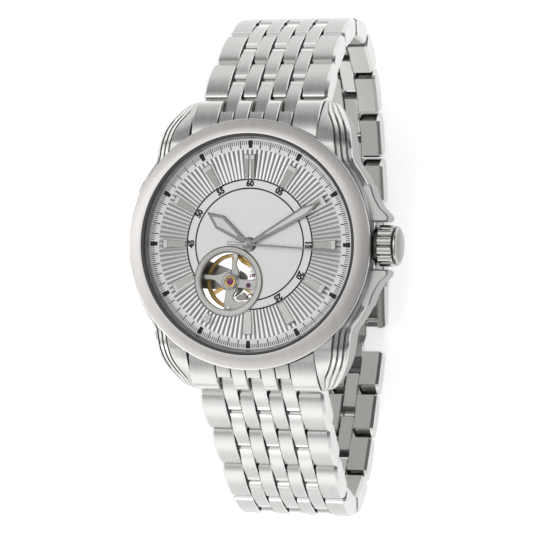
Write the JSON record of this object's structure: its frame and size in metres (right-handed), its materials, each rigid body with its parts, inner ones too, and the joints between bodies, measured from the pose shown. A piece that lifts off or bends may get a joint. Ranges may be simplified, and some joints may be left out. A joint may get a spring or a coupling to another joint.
{
  "type": "skeleton wristwatch",
  "caption": "Automatic wristwatch with an open-heart dial showing the balance, in a steel case on a steel link bracelet with a folding clasp.",
  "frame": {"origin": "centre of the case back's outer face, which rests on the wrist", "axes": "+Z out of the dial and the crystal, +Y towards 12 o'clock, +X towards 3 o'clock and the crown"},
  "size_m": [0.0444, 0.0844, 0.0579],
  "materials": {
    "brushed_steel": "fine straight or circular brushing with bright bevelled edges",
    "polished_steel": "mirror polished steel",
    "crystal_glass": "clear sapphire-like crystal",
    "dial_silver": "satin silver sunburst with a fluted ring",
    "movement_plate": "rhodium plated, straight grained",
    "gilt_brass": "gilt, satin",
    "ruby": "synthetic ruby in a gilt setting",
    "gasket_rubber": "black rubber"
  },
  "bodies": {
    "case": {"mid_case": "brushed_steel", "crown_tube": "polished_steel", "bezel": "brushed_steel", "crystal": "crystal_glass", "crystal_gasket": "gasket_rubber", "chapter_ring": "dial_silver", "dial": "dial_silver", "aperture_ring": "polished_steel", "movement_ring": "movement_plate", "main_plate": "movement_plate", "balance_bridge": "movement_plate", "balance_jewel": "ruby", "train_bridge": "movement_plate", "balance_cock": "movement_plate", "rotor_bearing": "polished_steel", "case_back": "brushed_steel", "case_back_glass": "crystal_glass", "case_back_gasket": "gasket_rubber", "end_link_12": "brushed_steel", "end_link_6": "brushed_steel", "spring_bar_12": "polished_steel", "spring_bar_6": "polished_steel"},
    "hour_hand": {"hour_hand": "polished_steel"},
    "minute_hand": {"minute_hand": "polished_steel"},
    "seconds": {"seconds_hand": "polished_steel", "fourth_wheel": "gilt_brass"},
    "third_wheel": {"third_wheel": "gilt_brass"},
    "center_wheel": {"center_wheel": "gilt_brass"},
    "escape_wheel": {"escape_wheel": "polished_steel"},
    "barrel": {"barrel": "gilt_brass"},
    "pallet_fork": {"pallet_fork": "polished_steel"},
    "balance": {"balance_wheel": "gilt_brass", "hairspring": "polished_steel"},
    "rotor": {"rotor": "brushed_steel"},
    "crown_carrier": {"setting_lever": "polished_steel"},
    "crown": {"crown": "polished_steel", "winding_stem": "polished_steel"},
    "link_12_1": {"link_12_1": "brushed_steel"},
    "link_12_2": {"link_12_2": "brushed_steel"},
    "link_12_3": {"link_12_3": "brushed_steel"},
    "link_12_4": {"link_12_4": "brushed_steel"},
    "link_12_5": {"link_12_5": "brushed_steel"},
    "link_12_6": {"link_12_6": "brushed_steel"},
    "link_12_7": {"link_12_7": "brushed_steel"},
    "link_12_8": {"link_12_8": "brushed_steel"},
    "link_6_1": {"link_6_1": "brushed_steel"},
    "link_6_2": {"link_6_2": "brushed_steel"},
    "link_6_3": {"link_6_3": "brushed_steel"},
    "link_6_4": {"link_6_4": "brushed_steel"},
    "link_6_5": {"link_6_5": "brushed_steel"},
    "link_6_6": {"link_6_6": "brushed_steel"},
    "link_6_7": {"link_6_7": "brushed_steel"},
    "link_6_8": {"link_6_8": "brushed_steel"},
    "clasp_cover": {"clasp_cover": "brushed_steel"},
    "clasp_button_left": {"clasp_button_left": "polished_steel"},
    "clasp_button_right": {"clasp_button_right": "polished_steel"},
    "inner_blade": {"clasp_inner_blade": "polished_steel"},
    "outer_blade": {"clasp_outer_blade": "polished_steel"}
  },
  "joints": [
    {"name": "minute_hand_turn", "type": "hinge", "parent": "case", "child": "minute_hand", "pos_m": [0, 0, 0], "axis": [0, 0, -1], "continuous": true},
    {"name": "hour_hand_turn", "type": "hinge", "parent": "case", "child": "hour_hand", "pos_m": [0, 0, 0], "axis": [0, 0, -1], "continuous": true},
    {"name": "seconds_turn", "type": "hinge", "parent": "case", "child": "seconds", "pos_m": [0, 0, 0], "axis": [0, 0, -1], "continuous": true},
    {"name": "third_wheel_turn", "type": "hinge", "parent": "case", "child": "third_wheel", "pos_m": [0.0041, -0.0012, 0], "axis": [0, 0, -1], "continuous": true},
    {"name": "center_wheel_turn", "type": "hinge", "parent": "case", "child": "center_wheel", "pos_m": [0, 0, 0], "axis": [0, 0, -1], "continuous": true},
    {"name": "barrel_turn", "type": "hinge", "parent": "case", "child": "barrel", "pos_m": [0.0035, 0.00535, 0], "axis": [0, 0, -1], "continuous": true},
    {"name": "escape_wheel_turn", "type": "hinge", "parent": "case", "child": "escape_wheel", "pos_m": [0.0013, -0.0038, 0], "axis": [0, 0, -1], "continuous": true},
    {"name": "pallet_fork_rock", "type": "hinge", "parent": "case", "child": "pallet_fork", "pos_m": [-0.00025, -0.0065, 0], "axis": [0, 0, 1], "range_deg": [-6, 6]},
    {"name": "balance_swing", "type": "hinge", "parent": "case", "child": "balance", "pos_m": [-0.00335, -0.0059, 0], "axis": [0, 0, 1], "range_deg": [-270, 270], "stiffness_Nm_per_rad": 0.0000004},
    {"name": "rotor_turn", "type": "hinge", "parent": "case", "child": "rotor", "pos_m": [0, 0, 0], "axis": [0, 0, 1], "continuous": true},
    {"name": "crown_pull", "type": "slide", "parent": "case", "child": "crown_carrier", "axis": [1, 0, 0], "range_m": [0, 0.0015]},
    {"name": "crown_turn", "type": "hinge", "parent": "crown_carrier", "child": "crown", "pos_m": [0, 0, 0.0058], "axis": [1, 0, 0], "continuous": true},
    {"name": "bracelet_open", "type": "hinge", "parent": "link_12_4", "child": "link_12_5", "pos_m": [0, 0.03526, -0.02916], "axis": [1, 0, 0], "range_deg": [0, 18]},
    {"name": "link_12_1_hinge", "type": "hinge", "parent": "case", "child": "link_12_1", "pos_m": [0, 0.02455, -0.00054], "axis": [1, 0, 0], "range_deg": [0, 4]},
    {"name": "link_12_2_hinge", "type": "hinge", "parent": "link_12_1", "child": "link_12_2", "pos_m": [0, 0.03039, -0.00643], "axis": [1, 0, 0], "range_deg": [0, 5.5]},
    {"name": "link_12_3_hinge", "type": "hinge", "parent": "link_12_2", "child": "link_12_3", "pos_m": [0, 0.03505, -0.01328], "axis": [1, 0, 0], "range_deg": [0, 8.5]},
    {"name": "link_12_4_hinge", "type": "hinge", "parent": "link_12_3", "child": "link_12_4", "pos_m": [0, 0.03729, -0.0212], "axis": [1, 0, 0], "range_deg": [0, 16.5]},
    {"name": "link_12_6_hinge", "type": "hinge", "parent": "link_12_5", "child": "link_12_6", "pos_m": [0, 0.0295, -0.03508], "axis": [1, 0, 0], "range_deg": [0, 11.5]},
    {"name": "link_12_7_hinge", "type": "hinge", "parent": "link_12_6", "child": "link_12_7", "pos_m": [0, 0.02213, -0.03888], "axis": [1, 0, 0], "range_deg": [0, 6.5]},
    {"name": "link_12_8_hinge", "type": "hinge", "parent": "link_12_7", "child": "link_12_8", "pos_m": [0, 0.01422, -0.04141], "axis": [1, 0, 0], "range_deg": [0, 3.5]},
    {"name": "clasp_cover_hinge", "type": "hinge", "parent": "link_12_8", "child": "clasp_cover", "pos_m": [0, 0.00611, -0.0431], "axis": [1, 0, 0], "range_deg": [0, 5.5]},
    {"name": "link_6_1_hinge", "type": "hinge", "parent": "case", "child": "link_6_1", "pos_m": [0, -0.02457, -0.00051], "axis": [1, 0, 0], "range_deg": [0, 2]},
    {"name": "link_6_2_hinge", "type": "hinge", "parent": "link_6_1", "child": "link_6_2", "pos_m": [0, -0.03072, -0.00609], "axis": [1, 0, 0], "range_deg": [0, 2]},
    {"name": "link_6_3_hinge", "type": "hinge", "parent": "link_6_2", "child": "link_6_3", "pos_m": [0, -0.03671, -0.01183], "axis": [1, 0, 0], "range_deg": [0, 2.5]},
    {"name": "link_6_4_hinge", "type": "hinge", "parent": "link_6_3", "child": "link_6_4", "pos_m": [0, -0.04186, -0.0183], "axis": [1, 0, 0], "range_deg": [0, 2.5]},
    {"name": "link_6_5_hinge", "type": "hinge", "parent": "link_6_4", "child": "link_6_5", "pos_m": [0, -0.04305, -0.02628], "axis": [1, 0, 0], "range_deg": [0, 2.5]},
    {"name": "link_6_6_hinge", "type": "hinge", "parent": "link_6_5", "child": "link_6_6", "pos_m": [0, -0.03789, -0.03271], "axis": [1, 0, 0], "range_deg": [0, 2.5]},
    {"name": "link_6_7_hinge", "type": "hinge", "parent": "link_6_6", "child": "link_6_7", "pos_m": [0, -0.03069, -0.03682], "axis": [1, 0, 0], "range_deg": [0, 2.5]},
    {"name": "link_6_8_hinge", "type": "hinge", "parent": "link_6_7", "child": "link_6_8", "pos_m": [0, -0.02323, -0.04046], "axis": [1, 0, 0], "range_deg": [0, 2.5]},
    {"name": "inner_blade_hinge", "type": "hinge", "parent": "link_6_8", "child": "inner_blade", "pos_m": [0, -0.0195, -0.04228], "axis": [-1, 0, 0], "range_deg": [0, 3.5]},
    {"name": "outer_blade_unfold", "type": "hinge", "parent": "inner_blade", "child": "outer_blade", "pos_m": [0, 0.00219, -0.04309], "axis": [1, 0, 0], "range_deg": [0, 70.5]},
    {"name": "clasp_button_left_press", "type": "slide", "parent": "clasp_cover", "child": "clasp_button_left", "axis": [1, 0, 0], "range_m": [0, 0.0005], "stiffness_N_per_m": 400, "springref_m": -0.0003},
    {"name": "clasp_button_right_press", "type": "slide", "parent": "clasp_cover", "child": "clasp_button_right", "axis": [-1, 0, 0], "range_m": [0, 0.0005], "stiffness_N_per_m": 400, "springref_m": -0.0003}
  ],
  "couplings": [
    {"joint": "hour_hand_turn", "follows": "minute_hand_turn", "ratio": 0.083333},
    {"joint": "third_wheel_turn", "follows": "seconds_turn", "ratio": -0.13333},
    {"joint": "center_wheel_turn", "follows": "seconds_turn", "ratio": 0.016667},
    {"joint": "barrel_turn", "follows": "seconds_turn", "ratio": -0.002381},
    {"joint": "escape_wheel_turn", "follows": "seconds_turn", "ratio": -12},
    {"joint": "link_12_2_hinge", "follows": "link_12_1_hinge", "ratio": 1.25},
    {"joint": "link_12_3_hinge", "follows": "link_12_1_hinge", "ratio": 2},
    {"joint": "link_12_4_hinge", "follows": "bracelet_open", "ratio": 0.88889},
    {"joint": "link_12_6_hinge", "follows": "bracelet_open", "ratio": 0.61111},
    {"joint": "link_12_7_hinge", "follows": "bracelet_open", "ratio": 0.33333},
    {"joint": "link_12_8_hinge", "follows": "bracelet_open", "ratio": 0.16667},
    {"joint": "clasp_cover_hinge", "follows": "bracelet_open", "ratio": 0.27778},
    {"joint": "link_6_3_hinge", "follows": "link_6_1_hinge", "ratio": 1},
    {"joint": "link_6_4_hinge", "follows": "link_6_2_hinge", "ratio": 1},
    {"joint": "link_6_5_hinge", "follows": "link_6_1_hinge", "ratio": 1},
    {"joint": "link_6_6_hinge", "follows": "link_6_2_hinge", "ratio": 1},
    {"joint": "link_6_7_hinge", "follows": "link_6_1_hinge", "ratio": 1},
    {"joint": "link_6_8_hinge", "follows": "link_6_2_hinge", "ratio": 1},
    {"joint": "inner_blade_hinge", "follows": "bracelet_open", "ratio": 0.16667},
    {"joint": "outer_blade_unfold", "follows": "bracelet_open", "ratio": 3.8889}
  ]
}
